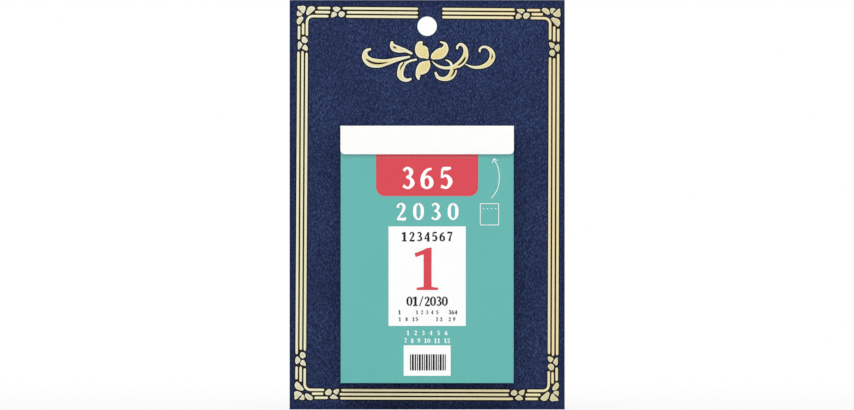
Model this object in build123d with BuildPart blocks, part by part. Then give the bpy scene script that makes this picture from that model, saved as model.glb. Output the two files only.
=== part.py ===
"""Tear-off day calendar: a covered wall plate that carries a stapled block of perforated day leaves.

The origin is the centre of the hanging hole, on the wall plane. +Z is up, +X is to the right of someone who
faces the calendar, and -Y comes out of the wall towards them. Every layer is placed by its depth, which is
its distance from the wall plane towards the reader. Sizes are in millimetres.
"""

import os

from build123d import *

# Wall plate: grey board, covered on the face, turned in round the edges and lined on the back
plate_width = 135.0
plate_height = 201.0
board_thickness = 2.0
covering_thickness = 0.25
turn_in_width = 20.0
mitre_slit_width = 0.4
mitre_end_margin = 0.5
lining_thickness = 0.15
lining_margin = 4.0
lining_clearance = 0.1
hole_diameter = 9.5
hole_drop = 12.9

# Block: a folded header card, the leaves of a year and a cover sheet
block_drop = 61.85
block_width = 84.8
flap_height = 13.95
leaf_reach = 111.95
leaf_side_inset = 0.1
head_clearance = 0.45
header_thickness = 0.35
header_fold_radius = 0.3
flap_corner_radius = 2.1
leaf_thickness = 0.06
cover_sheet_thickness = 0.18
loose_leaf_count = 7
month_leaf_count = {
    "january": 31,
    "february": 28,
    "march": 31,
    "april": 30,
    "may": 31,
    "june": 30,
    "july": 31,
    "august": 31,
    "september": 30,
    "october": 31,
    "november": 30,
    "december": 31,
}

# Tear line: slots through every sheet, and a hairline gap at the ties between them
tear_drop = 1.5
slot_pitch = 2.0
slot_length = 1.4
slot_height = 0.16
tie_gap = 0.04

# Wire staples, clinched behind the header card
wire_diameter = 0.5
wire_clearance = 0.1
leg_clearance = 0.05
crown_width = 12.0
clinch_length = 4.0
staple_spacing = 46.0
staple_drop = 6.5

# Foam tape between the plate and the block
tape_slack = 0.1
tape_width = 12.0
tape_spacing = 56.0
tape_margin = 8.0

# Depths of the layers, from the wall to the reader
turn_in_depth = lining_thickness
board_depth = turn_in_depth + covering_thickness
board_face = board_depth + board_thickness
plate_face = board_face + covering_thickness
tape_thickness = wire_diameter + 2 * wire_clearance + tape_slack
header_back = plate_face + tape_thickness
leaves_back = header_back + header_thickness
leaves_front = leaves_back + leaf_thickness * sum(month_leaf_count.values())
cover_sheet_face = leaves_front + cover_sheet_thickness
flap_back = cover_sheet_face + wire_diameter + 2 * wire_clearance
flap_face = flap_back + header_thickness

# Heights, from the hanging hole
plate_top = hole_drop
plate_middle = plate_top - plate_height / 2
block_top = plate_top - block_drop
head_inside = block_top - header_thickness
flap_bottom = block_top - flap_height
tear_line = flap_bottom - tear_drop
leaf_top = head_inside - head_clearance
leaf_bottom = flap_bottom - leaf_reach
staple_height = block_top - staple_drop

# Widths and radii that follow
board_width = plate_width - 2 * covering_thickness
board_height = plate_height - 2 * covering_thickness
window_width = plate_width - 2 * turn_in_width
window_height = plate_height - 2 * turn_in_width
covering_edge_radius = 0.8 * covering_thickness
leaf_width = block_width - 2 * leaf_side_inset
slot_count = int(leaf_width // slot_pitch)
wire_radius = wire_diameter / 2
wire_bend_radius = wire_radius + wire_clearance
leg_hole_radius = wire_radius + leg_clearance
staple_offset = staple_spacing / 2
leg_reach = crown_width / 2
leg_points = [(a * staple_offset + b * leg_reach, staple_height) for a in (-1, 1) for b in (-1, 1)]

os.makedirs("parts", exist_ok=True)


def layer(depth: float) -> Plane:
    """Plane parallel to the wall at a depth, looking out towards the reader."""
    return Plane.XZ.offset(depth)


def save(piece: Part, name: str) -> None:
    """Label a finished piece and write it under its own name."""
    piece.label = name
    export_step(piece, f"parts/{name}.step")


# Back lining: a paper that lies over the turn-ins and steps down onto the board between them
with BuildPart() as back_lining:
    with BuildSketch(layer(0)):
        with Locations((0, plate_middle)):
            Rectangle(plate_width - 2 * lining_margin, plate_height - 2 * lining_margin)
    extrude(amount=lining_thickness)
    with BuildSketch(layer(0)):
        with Locations((0, plate_middle)):
            Rectangle(window_width - 2 * lining_clearance, window_height - 2 * lining_clearance)
    extrude(amount=board_depth)
    with BuildSketch(layer(0)):
        with Locations((0, plate_middle)):
            step_inset = 2 * (lining_clearance + lining_thickness)
            Rectangle(window_width - step_inset, window_height - step_inset)
    extrude(amount=board_depth - lining_thickness, mode=Mode.SUBTRACT)
    with BuildSketch(layer(0)):
        Circle(hole_diameter / 2)
    extrude(amount=board_depth, mode=Mode.SUBTRACT)
save(back_lining.part, "back_lining")

# Leatherette covering: face, four edges and mitred turn-ins in one sheet round the board
with BuildPart() as leatherette_covering:
    with BuildSketch(layer(turn_in_depth)):
        with Locations((0, plate_middle)):
            Rectangle(plate_width, plate_height)
    extrude(amount=plate_face - turn_in_depth)
    front_rim = leatherette_covering.faces().sort_by(Axis.Y)[0].edges()
    fillet(front_rim, radius=covering_edge_radius)
    with BuildSketch(layer(board_depth)):
        with Locations((0, plate_middle)):
            Rectangle(board_width, board_height)
    extrude(amount=board_thickness, mode=Mode.SUBTRACT)
    with BuildSketch(layer(turn_in_depth)):
        with Locations((0, plate_middle)):
            Rectangle(window_width, window_height)
        mitre_reach = turn_in_width - covering_thickness - mitre_end_margin
        mitre_length = (mitre_reach + mitre_slit_width) * 2**0.5
        mitre_centre = (mitre_reach - mitre_slit_width) / 2
        for side in (-1, 1):
            for end in (-1, 1):
                slit_x = side * (window_width / 2 + mitre_centre)
                slit_z = plate_middle + end * (window_height / 2 + mitre_centre)
                with Locations((slit_x, slit_z)):
                    Rectangle(mitre_length, mitre_slit_width, rotation=45 * side * end)
    extrude(amount=covering_thickness, mode=Mode.SUBTRACT)
    with BuildSketch(layer(turn_in_depth)):
        Circle(hole_diameter / 2)
    extrude(amount=plate_face - turn_in_depth, mode=Mode.SUBTRACT)
save(leatherette_covering.part, "leatherette_covering")

# Backing board: the stiff grey board inside the covering
with BuildPart() as backing_board:
    with BuildSketch(layer(board_depth)):
        with Locations((0, plate_middle)):
            Rectangle(board_width, board_height)
        Circle(hole_diameter / 2, mode=Mode.SUBTRACT)
    extrude(amount=board_thickness)
save(backing_board.part, "backing_board")

# Mounting tape: two foam strips that carry the block and leave room for the clinched wire
with BuildPart() as mounting_tape:
    with BuildSketch(layer(plate_face)):
        with Locations((0, (tear_line + leaf_bottom) / 2)):
            with GridLocations(tape_spacing, 0, 2, 1):
                Rectangle(tape_width, tear_line - leaf_bottom - 2 * tape_margin)
    extrude(amount=tape_thickness)
save(mounting_tape.part, "mounting_tape")

# Header card: one card folded behind, over and in front of the leaves, with a short front flap
with BuildPart() as header_card:
    with BuildSketch(Plane.YZ) as profile:
        with BuildLine():
            Polyline(
                (-header_back, leaf_bottom),
                (-header_back, block_top),
                (-flap_face, block_top),
                (-flap_face, flap_bottom),
                (-flap_back, flap_bottom),
                (-flap_back, head_inside),
                (-leaves_back, head_inside),
                (-leaves_back, leaf_bottom),
                close=True,
            )
        make_face()
        fillet(profile.vertices().group_by(Axis.Y)[-2], radius=header_fold_radius)
        fillet(profile.vertices().group_by(Axis.Y)[-1], radius=header_fold_radius + header_thickness)
    extrude(amount=block_width / 2, both=True)
    flap_corners = header_card.edges().filter_by(Axis.Y).group_by(Axis.Z)[1]
    fillet(flap_corners, radius=flap_corner_radius)
    with BuildSketch(layer(header_back)):
        with Locations(*leg_points):
            Circle(leg_hole_radius)
    extrude(amount=header_thickness, mode=Mode.SUBTRACT)
save(header_card.part, "header_card")

# Staples: two wires, each with its crown under the flap and its legs bent in behind the header card
with BuildPart() as staples:
    crown_y = -(cover_sheet_face + wire_bend_radius)
    clinch_y = -(header_back - wire_bend_radius)
    for side in (-1, 1):
        left = side * staple_offset - leg_reach
        right = side * staple_offset + leg_reach
        with BuildLine(Plane.XY.offset(staple_height)) as wire_path:
            FilletPolyline(
                (left + clinch_length, clinch_y),
                (left, clinch_y),
                (left, crown_y),
                (right, crown_y),
                (right, clinch_y),
                (right - clinch_length, clinch_y),
                radius=wire_bend_radius,
            )
        with BuildSketch(Plane(origin=wire_path.line @ 0, z_dir=wire_path.line % 0)):
            Circle(wire_radius)
        sweep(path=wire_path.line)
save(staples.part, "staples")


def perforated_sheet(depth: float, thickness: float, low: float, high: float) -> Part:
    """Sheet of the leaf's width between two heights, slotted on the tear line and pierced for the staples."""
    with BuildPart() as sheet:
        with BuildSketch(layer(depth)):
            with Locations((0, (low + high) / 2)):
                Rectangle(leaf_width, high - low)
            with Locations((0, tear_line)):
                with GridLocations(slot_pitch, 0, slot_count, 1):
                    Rectangle(slot_length, slot_height, mode=Mode.SUBTRACT)
            with Locations(*leg_points):
                Circle(leg_hole_radius, mode=Mode.SUBTRACT)
        extrude(amount=thickness)
    return sheet.part


def save_torn_sheet(depth: float, thickness: float, name: str) -> None:
    """Write a sheet that tears off, as the leaf below the tear line and the stub that stays above it."""
    save(perforated_sheet(depth, thickness, leaf_bottom, tear_line - tie_gap / 2), name)
    save(perforated_sheet(depth, thickness, tear_line + tie_gap / 2, leaf_top), f"{name}_stub")


# Month packs: the leaves still in the block, from December at the back to January at the front
pack_depth = leaves_back
for month in reversed(month_leaf_count):
    leaf_count = month_leaf_count[month]
    if month == "january":
        leaf_count = leaf_count - loose_leaf_count
    pack_thickness = leaf_count * leaf_thickness
    save(perforated_sheet(pack_depth, pack_thickness, leaf_bottom, leaf_top), f"{month}_leaves")
    pack_depth = pack_depth + pack_thickness

# Day leaves: the first week, each leaf a sheet of its own, with the first day at the front
for day in range(1, loose_leaf_count + 1):
    save_torn_sheet(leaves_front - day * leaf_thickness, leaf_thickness, f"day_leaf_{day}")

# Cover sheet: the printed sheet in front of the first day
save_torn_sheet(leaves_front, cover_sheet_thickness, "cover_sheet")
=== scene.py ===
"""Looks of the tear-off day calendar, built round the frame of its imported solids.

Places are given in millimetres on the calendar's face: x to the right and z up from the hanging hole, and
depth out of the wall towards the reader, which is -Y in the frame. Print on the block is placed by its drop,
which is how far it lies below the lower edge of the card flap.
"""

from __future__ import annotations

import functools
import logging
import math
from dataclasses import dataclass, replace
from enum import Enum
from typing import Iterable, Sequence

import bpy
import numpy as np
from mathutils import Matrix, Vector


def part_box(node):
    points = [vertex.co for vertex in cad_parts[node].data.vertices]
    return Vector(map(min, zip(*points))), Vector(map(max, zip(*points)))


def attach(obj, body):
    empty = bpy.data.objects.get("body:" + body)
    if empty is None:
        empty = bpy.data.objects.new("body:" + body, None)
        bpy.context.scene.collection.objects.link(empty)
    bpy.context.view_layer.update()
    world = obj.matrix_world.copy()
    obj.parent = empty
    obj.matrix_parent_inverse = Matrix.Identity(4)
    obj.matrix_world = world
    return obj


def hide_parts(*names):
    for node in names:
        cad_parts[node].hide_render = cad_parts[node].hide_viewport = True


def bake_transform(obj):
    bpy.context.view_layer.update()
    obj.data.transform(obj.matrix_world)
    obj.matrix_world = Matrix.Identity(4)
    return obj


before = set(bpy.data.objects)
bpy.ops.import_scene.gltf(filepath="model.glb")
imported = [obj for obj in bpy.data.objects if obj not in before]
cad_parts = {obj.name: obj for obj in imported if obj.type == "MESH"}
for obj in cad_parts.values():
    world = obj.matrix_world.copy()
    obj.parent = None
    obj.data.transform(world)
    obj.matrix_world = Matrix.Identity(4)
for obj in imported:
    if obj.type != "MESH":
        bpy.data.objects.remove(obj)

Array = np.ndarray
Point = tuple[float, float]
Knot = tuple[float, float, float]
Edges = tuple[float, float, float, float]
Colour = tuple[float, float, float, float]
Tree = bpy.types.NodeTree
Socket = bpy.types.NodeSocket

MM = 0.001
WHITE = "#ffffff"
SHARP_ANGLE = math.radians(40)
LOG = logging.getLogger("calendar")

# Sockets of the colour Mix node, which has one set of inputs for each kind of value
MIX_FACTOR = 0
MIX_FIRST = 6
MIX_SECOND = 7
MIX_RESULT = 2

# Most values of a noise texture lie between these
NOISE_LOW = 0.3
NOISE_HIGH = 0.7

# Heights and widths on the face that the solids are built to
FLAP_EDGE = -62.9
TEAR_LINE = -64.4
LEAF_BOTTOM = -174.85
LEAF_TOP = -49.75
LEAF_HALF_WIDTH = 42.3
LEAF_THICKNESS = 0.06

# Each stroke lies this much nearer to the reader than the one before, so that crossing strokes share no face
STROKE_STEP = 0.002


def linear(hex_colour: str) -> Colour:
    """Turn an sRGB hex colour into the linear colour that shaders take.

    Args:
        hex_colour: a colour such as "#6ab9b3".

    Returns:
        Red, green, blue and an alpha of 1.
    """
    srgb = np.array([int(hex_colour[start : start + 2], 16) for start in (1, 3, 5)]) / 255
    toe = srgb / 12.92
    curve = ((srgb + 0.055) / 1.055) ** 2.4
    red, green, blue = np.where(srgb <= 0.04045, toe, curve).tolist()
    return red, green, blue, 1.0


def per_metre(millimetres: float) -> float:
    """Texture scale at which one cell of a pattern is this many millimetres wide."""
    return 1 / (millimetres * MM)


def face_depth(node: str) -> float:
    """Depth of a solid's front face in millimetres."""
    return -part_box(node)[0].y / MM


def back_depth(node: str) -> float:
    """Depth of a solid's back face in millimetres."""
    return -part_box(node)[1].y / MM


def add_node(tree: Tree, kind: str, inputs: dict, **options: object) -> bpy.types.NodeOutputs:
    """Add one shader node with its options, input values and links.

    Args:
        tree: the node tree that gets the node.
        kind: the node's type name.
        inputs: for each socket name or number, a value, or an output socket to link from.
        options: the node's own settings.

    Returns:
        The new node's outputs.
    """
    node = tree.nodes.new(kind)
    for name, value in options.items():
        setattr(node, name, value)
    for name, value in inputs.items():
        if isinstance(value, Socket):
            tree.links.new(value, node.inputs[name])
        else:
            node.inputs[name].default_value = value
    return node.outputs


@dataclass(frozen=True)
class Finish:
    """A surface finish, named for the material and how it was made or for the shade painted on it: two
    colours mixed by a pattern.

    Attributes:
        name: the material's name.
        low: colour where the pattern is 0.
        high: colour where it is 1.
        relief: depth of the pattern in millimetres, or 0 for a smooth surface.
        bump: how strongly that depth shades the surface.
        roughness: how widely the surface scatters what it reflects.
        gloss: specular level.
        metallic: 1 for a metal.
        toned: colour that the piece's own tone leads to, such as a yellowed sheet or an unprinted back.
        tone_depth: how far the tone leads there.
    """

    name: str
    low: str
    high: str
    relief: float = 0.004
    bump: float = 0.6
    roughness: float = 0.7
    gloss: float = 0.2
    metallic: float = 0.0
    toned: str = WHITE
    tone_depth: float = 0.0

    def pattern(self, tree: Tree, place: Socket) -> tuple[Socket, Socket]:
        """Add the nodes of the finish's own pattern.

        Args:
            tree: the material's node tree.
            place: the object coordinates.

        Returns:
            The share of the high colour, and the height.
        """
        raise NotImplementedError

    def material(self) -> bpy.types.Material:
        """Make the material: its colours mixed by its pattern, the pattern's height as relief, and its gloss.

        Returns:
            The material, with one shader.
        """
        made = bpy.data.materials.new(self.name)
        made.use_nodes = True
        tree = made.node_tree
        tree.nodes.clear()
        share, height = self.pattern(tree, add_node(tree, "ShaderNodeTexCoord", {})["Object"])
        colours = {MIX_FACTOR: share, MIX_FIRST: linear(self.low), MIX_SECOND: linear(self.high)}
        colour = add_node(tree, "ShaderNodeMix", colours, data_type="RGBA")[MIX_RESULT]
        if self.tone_depth > 0:
            tone = add_node(tree, "ShaderNodeAttribute", {}, attribute_name="tone")["Fac"]
            depth = add_node(tree, "ShaderNodeMath", {0: tone, 1: self.tone_depth}, operation="MULTIPLY")[0]
            colours = {MIX_FACTOR: depth, MIX_FIRST: colour, MIX_SECOND: linear(self.toned)}
            colour = add_node(tree, "ShaderNodeMix", colours, data_type="RGBA")[MIX_RESULT]
        inputs = {
            "Base Color": colour,
            "Roughness": self.roughness,
            "Specular IOR Level": self.gloss,
            "Metallic": self.metallic,
        }
        if self.relief > 0:
            bumps = {"Height": height, "Strength": self.bump, "Distance": self.relief * MM}
            inputs["Normal"] = add_node(tree, "ShaderNodeBump", bumps)["Normal"]
        shader = add_node(tree, "ShaderNodeBsdfPrincipled", inputs)[0]
        add_node(tree, "ShaderNodeOutputMaterial", {"Surface": shader})
        return made


@functools.cache
def material_of(finish: Finish) -> bpy.types.Material:
    """The one material of a finish, made when it is first asked for."""
    return finish.material()


@dataclass(frozen=True)
class PaperStock(Finish):
    """Paper, card or board, bare or printed: a matt felt of fibres whose colour clouds slightly.

    Its low colour is that of the dense sheet and its high colour that of its fibres and shallow clouds. The
    roughness goes from about 0.45 for a coated sheet to 0.9 for raw board, and the gloss is low, because a
    sheet's surface scatters most of its reflection.

    Attributes:
        fibre: width of the fibre clumps in millimetres, drawn wider than single fibres so that they show.
        cloud: width of the clouds, in fibre clumps.
    """

    fibre: float = 0.9
    cloud: float = 12.0

    def pattern(self, tree: Tree, place: Socket) -> tuple[Socket, Socket]:
        """Felt the sheet with noise at the fibre's size, and cloud it with a wider one.

        Args:
            tree: the material's node tree.
            place: the object coordinates.

        Returns:
            The share of the fibres' colour, and the height of the felt.
        """
        fibres = {"Vector": place, "Scale": per_metre(self.fibre), "Detail": 4.0, "Roughness": 0.65}
        felt = add_node(tree, "ShaderNodeTexNoise", fibres)["Fac"]
        clouds = {"Vector": place, "Scale": per_metre(self.cloud * self.fibre), "Detail": 2.0}
        cloud = add_node(tree, "ShaderNodeTexNoise", clouds)["Fac"]
        return add_node(tree, "ShaderNodeMath", {0: felt, 1: cloud}, operation="MULTIPLY")[0], felt


@dataclass(frozen=True)
class Leatherette(Finish):
    """Embossed covering paper: rounded grains with painted shade in their creases, longer upright than
    across.

    Its low colour is the painted shade of the creases and its high colour the painted highlight on the tops
    of the grains, mixed with a real speckle of tone.

    Attributes:
        grain: width of a grain in millimetres, the size that shows at the photograph's scale.
        length: its length, upright.
        shoulder: share of a grain's width over which it rises to its top.
        wobble: how far a noise pushes the grains out of line, in grain widths.
        speckle: share of that noise in the grain's height.
        shade: heights at which the sheet has its low and its high colour.
        patch: size in millimetres of the patches where the sheet took the embossing better or worse.
        patch_depth: how much better or worse.
        margin: width of the darker strip along the plate's edges in millimetres.
        edge_shade: share of the high colour that is left at the very edge.
    """

    relief: float = 0.07
    bump: float = 0.7
    roughness: float = 0.5
    gloss: float = 0.1
    grain: float = 0.54
    length: float = 2.0
    shoulder: float = 0.4
    wobble: float = 0.12
    speckle: float = 0.3
    shade: Point = (0.11, 1.03)
    patch: float = 28.0
    patch_depth: float = 0.18
    margin: float = 5.0
    edge_shade: float = 0.5

    def handled(self, tree: Tree, place: Socket) -> Socket:
        """Add the nodes that darken the covering towards the plate's edges: a share from edge_shade at the
        edges to 1 past the margin.

        The way to the nearest edge is the lesser of half the width - |x| and half the height - |z - middle|.

        Args:
            tree: the material's node tree.
            place: the object coordinates.

        Returns:
            The socket that holds the share.
        """
        low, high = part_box("leatherette_covering")
        at = add_node(tree, "ShaderNodeSeparateXYZ", {0: place})
        ways = []
        for axis, least, most in (("X", low.x, high.x), ("Z", low.z, high.z)):
            middle = (least + most) / 2
            off = add_node(tree, "ShaderNodeMath", {0: at[axis], 1: middle}, operation="SUBTRACT")[0]
            size = add_node(tree, "ShaderNodeMath", {0: off}, operation="ABSOLUTE")[0]
            left = {0: most - middle, 1: size}
            ways.append(add_node(tree, "ShaderNodeMath", left, operation="SUBTRACT")[0])
        way = add_node(tree, "ShaderNodeMath", {0: ways[0], 1: ways[1]}, operation="MINIMUM")[0]
        ramp = {"Value": way, "From Max": self.margin * MM, "To Min": self.edge_shade}
        return add_node(tree, "ShaderNodeMapRange", ramp, interpolation_type="SMOOTHSTEP")[0]

    def pattern(self, tree: Tree, place: Socket) -> tuple[Socket, Socket]:
        """Emboss the sheet with long cells that a noise pushes out of line, and speckle it with that noise.

        Args:
            tree: the material's node tree.
            place: the object coordinates.

        Returns:
            The share of the high colour, the grains' painted highlight, and their height.
        """
        shortened = (1.0, 1.0, self.grain / self.length)
        upright = add_node(tree, "ShaderNodeMapping", {"Vector": place, "Scale": shortened})[0]
        specks = {"Vector": upright, "Scale": per_metre(self.grain / 2), "Detail": 2.0, "Roughness": 0.55}
        speckle = add_node(tree, "ShaderNodeTexNoise", specks)
        push = {0: speckle["Color"], 1: (self.wobble * self.grain * MM,) * 3, 2: upright}
        pushed = add_node(tree, "ShaderNodeVectorMath", push, operation="MULTIPLY_ADD")[0]
        grains = {"Vector": pushed, "Scale": per_metre(self.grain)}
        cells = add_node(tree, "ShaderNodeTexVoronoi", grains, feature="DISTANCE_TO_EDGE")["Distance"]
        rise = {"Value": cells, "From Max": self.shoulder}
        tops = add_node(tree, "ShaderNodeMapRange", rise, interpolation_type="SMOOTHSTEP")[0]
        height = add_node(tree, "ShaderNodeMix", {"Factor": self.speckle, "A": tops, "B": speckle["Fac"]})[0]
        # The colour follows the grains' height: painted highlight on their tops, painted shade in their
        # creases
        shades = {"Value": height, "From Min": self.shade[0], "From Max": self.shade[1]}
        shade = add_node(tree, "ShaderNodeMapRange", shades)[0]
        spread = {"Vector": place, "Scale": per_metre(self.patch), "Detail": 1.0}
        patches = {
            "Value": add_node(tree, "ShaderNodeTexNoise", spread)["Fac"],
            "From Min": NOISE_LOW,
            "From Max": NOISE_HIGH,
            "To Min": 1 - self.patch_depth,
            "To Max": 1 + self.patch_depth,
        }
        taken = add_node(tree, "ShaderNodeMapRange", patches)[0]
        pressed = add_node(tree, "ShaderNodeMath", {0: shade, 1: taken}, operation="MULTIPLY")[0]
        # The covering is darker towards the plate's edges
        edge_darkened = {0: pressed, 1: self.handled(tree, place)}
        return add_node(tree, "ShaderNodeMath", edge_darkened, operation="MULTIPLY")[0], height


@dataclass(frozen=True)
class StampedFoil(Finish):
    """Hot-stamped metal foil: a thin bright skin that takes some of the grain under it and wears in places.

    Its low colour is that of the middle of a stroke and its high colour that of the stroke's edges; the paler
    of the two is a painted highlight.

    Attributes:
        cloud: size in millimetres of the patches where the foil took better or worse.
        cloud_depth: how much of the edges' colour these patches bring in.
        grain: size in millimetres of the covering's grain in the foil.
        grain_depth: how much of the edges' colour the grain brings in.
        lean: how far a stroke leans to the edges' colour before its patches and grain are added.
        drift: how much of the edges' colour comes in from the plate's middle to its right side, and goes out
            to its left side.
    """

    relief: float = 0.03
    bump: float = 0.4
    roughness: float = 0.36
    gloss: float = 0.5
    metallic: float = 1.0
    cloud: float = 16.0
    cloud_depth: float = 0.8
    grain: float = 0.7
    grain_depth: float = 1.4
    lean: float = -0.95
    drift: float = -0.25

    def pattern(self, tree: Tree, place: Socket) -> tuple[Socket, Socket]:
        """Grade the colour across each stroke by the piece's tone into a painted highlight, and cloud it
        along the stroke.

        Args:
            tree: the material's node tree.
            place: the object coordinates.

        Returns:
            The share of the edges' colour, and the height of the grain.
        """
        low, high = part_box("leatherette_covering")
        sides = {
            "Value": add_node(tree, "ShaderNodeSeparateXYZ", {0: place})["X"],
            "From Min": low.x,
            "From Max": high.x,
            "To Min": self.lean - self.drift,
            "To Max": self.lean + self.drift,
        }
        side = add_node(tree, "ShaderNodeMapRange", sides)[0]
        clouds = {"Vector": place, "Scale": per_metre(self.cloud), "Detail": 3.0}
        cloud = add_node(tree, "ShaderNodeTexNoise", clouds)["Fac"]
        patches = {0: cloud, 1: self.cloud_depth, 2: side}
        clouded = add_node(tree, "ShaderNodeMath", patches, operation="MULTIPLY_ADD")[0]
        grains = {"Vector": place, "Scale": per_metre(self.grain), "Detail": 2.0}
        grain = add_node(tree, "ShaderNodeTexNoise", grains)["Fac"]
        rubs = {0: grain, 1: self.grain_depth, 2: clouded}
        rubbed = add_node(tree, "ShaderNodeMath", rubs, operation="MULTIPLY_ADD")[0]
        # The piece's tone grades each stroke across into a painted highlight, along the rules' middles and
        # the petals' edges
        tone = add_node(tree, "ShaderNodeAttribute", {}, attribute_name="tone")["Fac"]
        share = add_node(tree, "ShaderNodeMath", {0: tone, 1: rubbed}, operation="ADD", use_clamp=True)[0]
        return share, grain


@dataclass(frozen=True)
class Wire(Finish):
    """Galvanised steel wire: a bright, smooth zinc skin, faintly clouded.

    Attributes:
        cloud: size of the clouds in millimetres.
    """

    relief: float = 0.0
    roughness: float = 0.32
    gloss: float = 0.5
    metallic: float = 1.0
    cloud: float = 1.0

    def pattern(self, tree: Tree, place: Socket) -> tuple[Socket, Socket]:
        """Cloud the zinc.

        Args:
            tree: the material's node tree.
            place: the object coordinates.

        Returns:
            The share of the dull zinc, twice, as its height isn't used.
        """
        clouds = {"Vector": place, "Scale": per_metre(self.cloud), "Detail": 3.0}
        zinc = add_node(tree, "ShaderNodeTexNoise", clouds)["Fac"]
        return zinc, zinc


@dataclass(frozen=True)
class Foam(Finish):
    """Closed-cell foam tape: a chalky white skin of small cells.

    Attributes:
        cell: width of a cell in millimetres.
    """

    relief: float = 0.1
    bump: float = 0.8
    roughness: float = 0.85
    cell: float = 0.35

    def pattern(self, tree: Tree, place: Socket) -> tuple[Socket, Socket]:
        """Dent the skin with one pit for each cell, with painted shade in the pits.

        Args:
            tree: the material's node tree.
            place: the object coordinates.

        Returns:
            The share of the skin's colour between the pits, which is also its height; the pits' colour is
            painted shade.
        """
        cells = {"Vector": place, "Scale": per_metre(self.cell)}
        pits = add_node(tree, "ShaderNodeTexVoronoi", cells)["Distance"]
        return pits, pits


class Surface(Enum):
    """The finishes that the calendar's pieces are dressed in."""

    # Covering paper with an embossed grain: satin, with painted highlight on its grains and painted shade in
    # its creases
    LEATHERETTE = Leatherette("navy_embossed_covering_paper", "#0d163d", "#445884")
    # Foil on the long rules: paler along the middle, a painted highlight on each rule's crown
    RULE_FOIL = StampedFoil(
        "gold_foil_stamped_rules", "#f0ecca", "#ecdcae", cloud=30.0, lean=-1.4, drift=0.45
    )
    # Foil on the corner petals: pale and greenish, with a painted highlight along their edges
    PETAL_FOIL = StampedFoil("gold_foil_stamped_petals", "#d9cda2", "#ecebd6", drift=-0.3)
    # Foil on the fleuron: warmer in the middle, with a pale painted highlight along the edges
    FLEURON_FOIL = StampedFoil("gold_foil_stamped_fleuron", "#e6d48c", "#f0f0dc")
    # Painted shade of the debossed edge round every stroke: flat and near black
    SCORCH = PaperStock("painted_deboss_shade", "#1f2022", "#2a2a28", roughness=0.8, gloss=0.0)
    # Painted shade in the debossed gap between close rules, tinted brownish gold: dull
    BRONZE = PaperStock("painted_gap_shade", "#201903", "#2e2507", fibre=0.5, roughness=0.6, gloss=0.1)
    # Raw grey board: felted waste paper with darker flecks
    GREY_BOARD = PaperStock("raw_grey_board", "#a8a196", "#6f685d", fibre=0.6, roughness=0.9)
    # Lining paper of the back: uncoated, off-white, felted
    LINING = PaperStock("uncoated_lining_paper", "#d9d3c6", "#b3ab9b", fibre=1.2, relief=0.01)
    # Foam tape under the block: white, matt and pitted, with painted shade in its pits
    FOAM = Foam("white_foam_tape", "#c9c9c2", "#f2f2ee")
    # Smooth card of the header: white, with hardly any cloud
    CARD = PaperStock("smooth_white_card", "#fefefd", "#f5f5f3", fibre=0.7, roughness=0.55)
    # Uncoated leaves: matt white, each a shade off the next
    LEAF = PaperStock(
        "uncoated_leaf_paper", "#fcfbf8", "#d6d2c6", roughness=0.8, toned="#c9c4b6", tone_depth=0.4
    )
    # Coated sheet: satin, printed teal on its face and bare on its back
    TEAL = PaperStock(
        "teal_offset_ink_on_coated_paper",
        "#67b9b3",
        "#60b0aa",
        roughness=0.45,
        toned="#f4f3ef",
        tone_depth=1.0,
    )
    # Other inks and the bare paper of that sheet: even and satin
    RED = PaperStock("red_offset_ink", "#dc4955", "#d44551", roughness=0.45)
    BLACK = PaperStock("black_offset_ink", "#1c1b1d", "#29282a", roughness=0.5, gloss=0.1)
    BARE = PaperStock("unprinted_coated_paper", "#fefefe", "#fafaf9", fibre=0.6, roughness=0.5)
    # Drawn and galvanised staple wire: bright grey metal
    WIRE = Wire("galvanised_staple_wire", "#c9cbcd", "#8f9296")


@dataclass(frozen=True)
class Skin:
    """A closed mesh in millimetres on the calendar's face.

    Attributes:
        points: for each point, x to the right, z up and depth towards the reader.
        faces: four point numbers for each face, anticlockwise from outside.
        tone: for each point, a value that a finish may read.
    """

    points: Array
    faces: Array
    tone: Array


def joined(skins: Iterable[Skin]) -> Skin:
    """Put several skins into one, which keeps each of them closed.

    Args:
        skins: the skins, which may overlap.

    Returns:
        One skin with all their points and faces.
    """
    parts = list(skins)
    starts = np.cumsum([0] + [len(part.points) for part in parts[:-1]])
    return Skin(
        np.concatenate([part.points for part in parts]),
        np.concatenate([part.faces + start for part, start in zip(parts, starts)]),
        np.concatenate([part.tone for part in parts]),
    )


def closed_skin(front: Array, back: Array, tone: Array) -> Skin:
    """Close a front grid and a back grid of the same size into one skin.

    The faces of both grids are joined by a wall between their borders. The volume that the faces enclose, the
    sum of a . (b x c) / 6 over their triangles, tells which way they point, and they are turned outwards.

    Args:
        front: rows by columns of points nearest to the reader.
        back: the same for the points behind them.
        tone: rows by columns of the front's tone, which the back repeats.

    Returns:
        The closed skin.
    """
    rows, columns = front.shape[:2]
    number = np.arange(rows * columns).reshape(rows, columns)
    corners = [number[:-1, :-1], number[:-1, 1:], number[1:, 1:], number[1:, :-1]]
    sheet = np.stack(corners, axis=-1).reshape(-1, 4)
    border = np.concatenate([number[0, :-1], number[:-1, -1], number[-1, :0:-1], number[:0:-1, 0]])
    following = np.roll(border, -1)
    behind = rows * columns
    wall = np.stack([following, border, border + behind, following + behind], axis=-1)
    faces = np.concatenate([sheet, sheet[:, ::-1] + behind, wall])
    points = np.concatenate([front.reshape(-1, 3), back.reshape(-1, 3)])
    a, b, c, d = (points[faces[:, corner]] for corner in range(4))
    volume = np.sum(a * np.cross(b, c)) + np.sum(a * np.cross(c, d))
    if volume < 0:
        faces = faces[:, ::-1]
    return Skin(points, faces, np.tile(tone.ravel(), 2))


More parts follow.
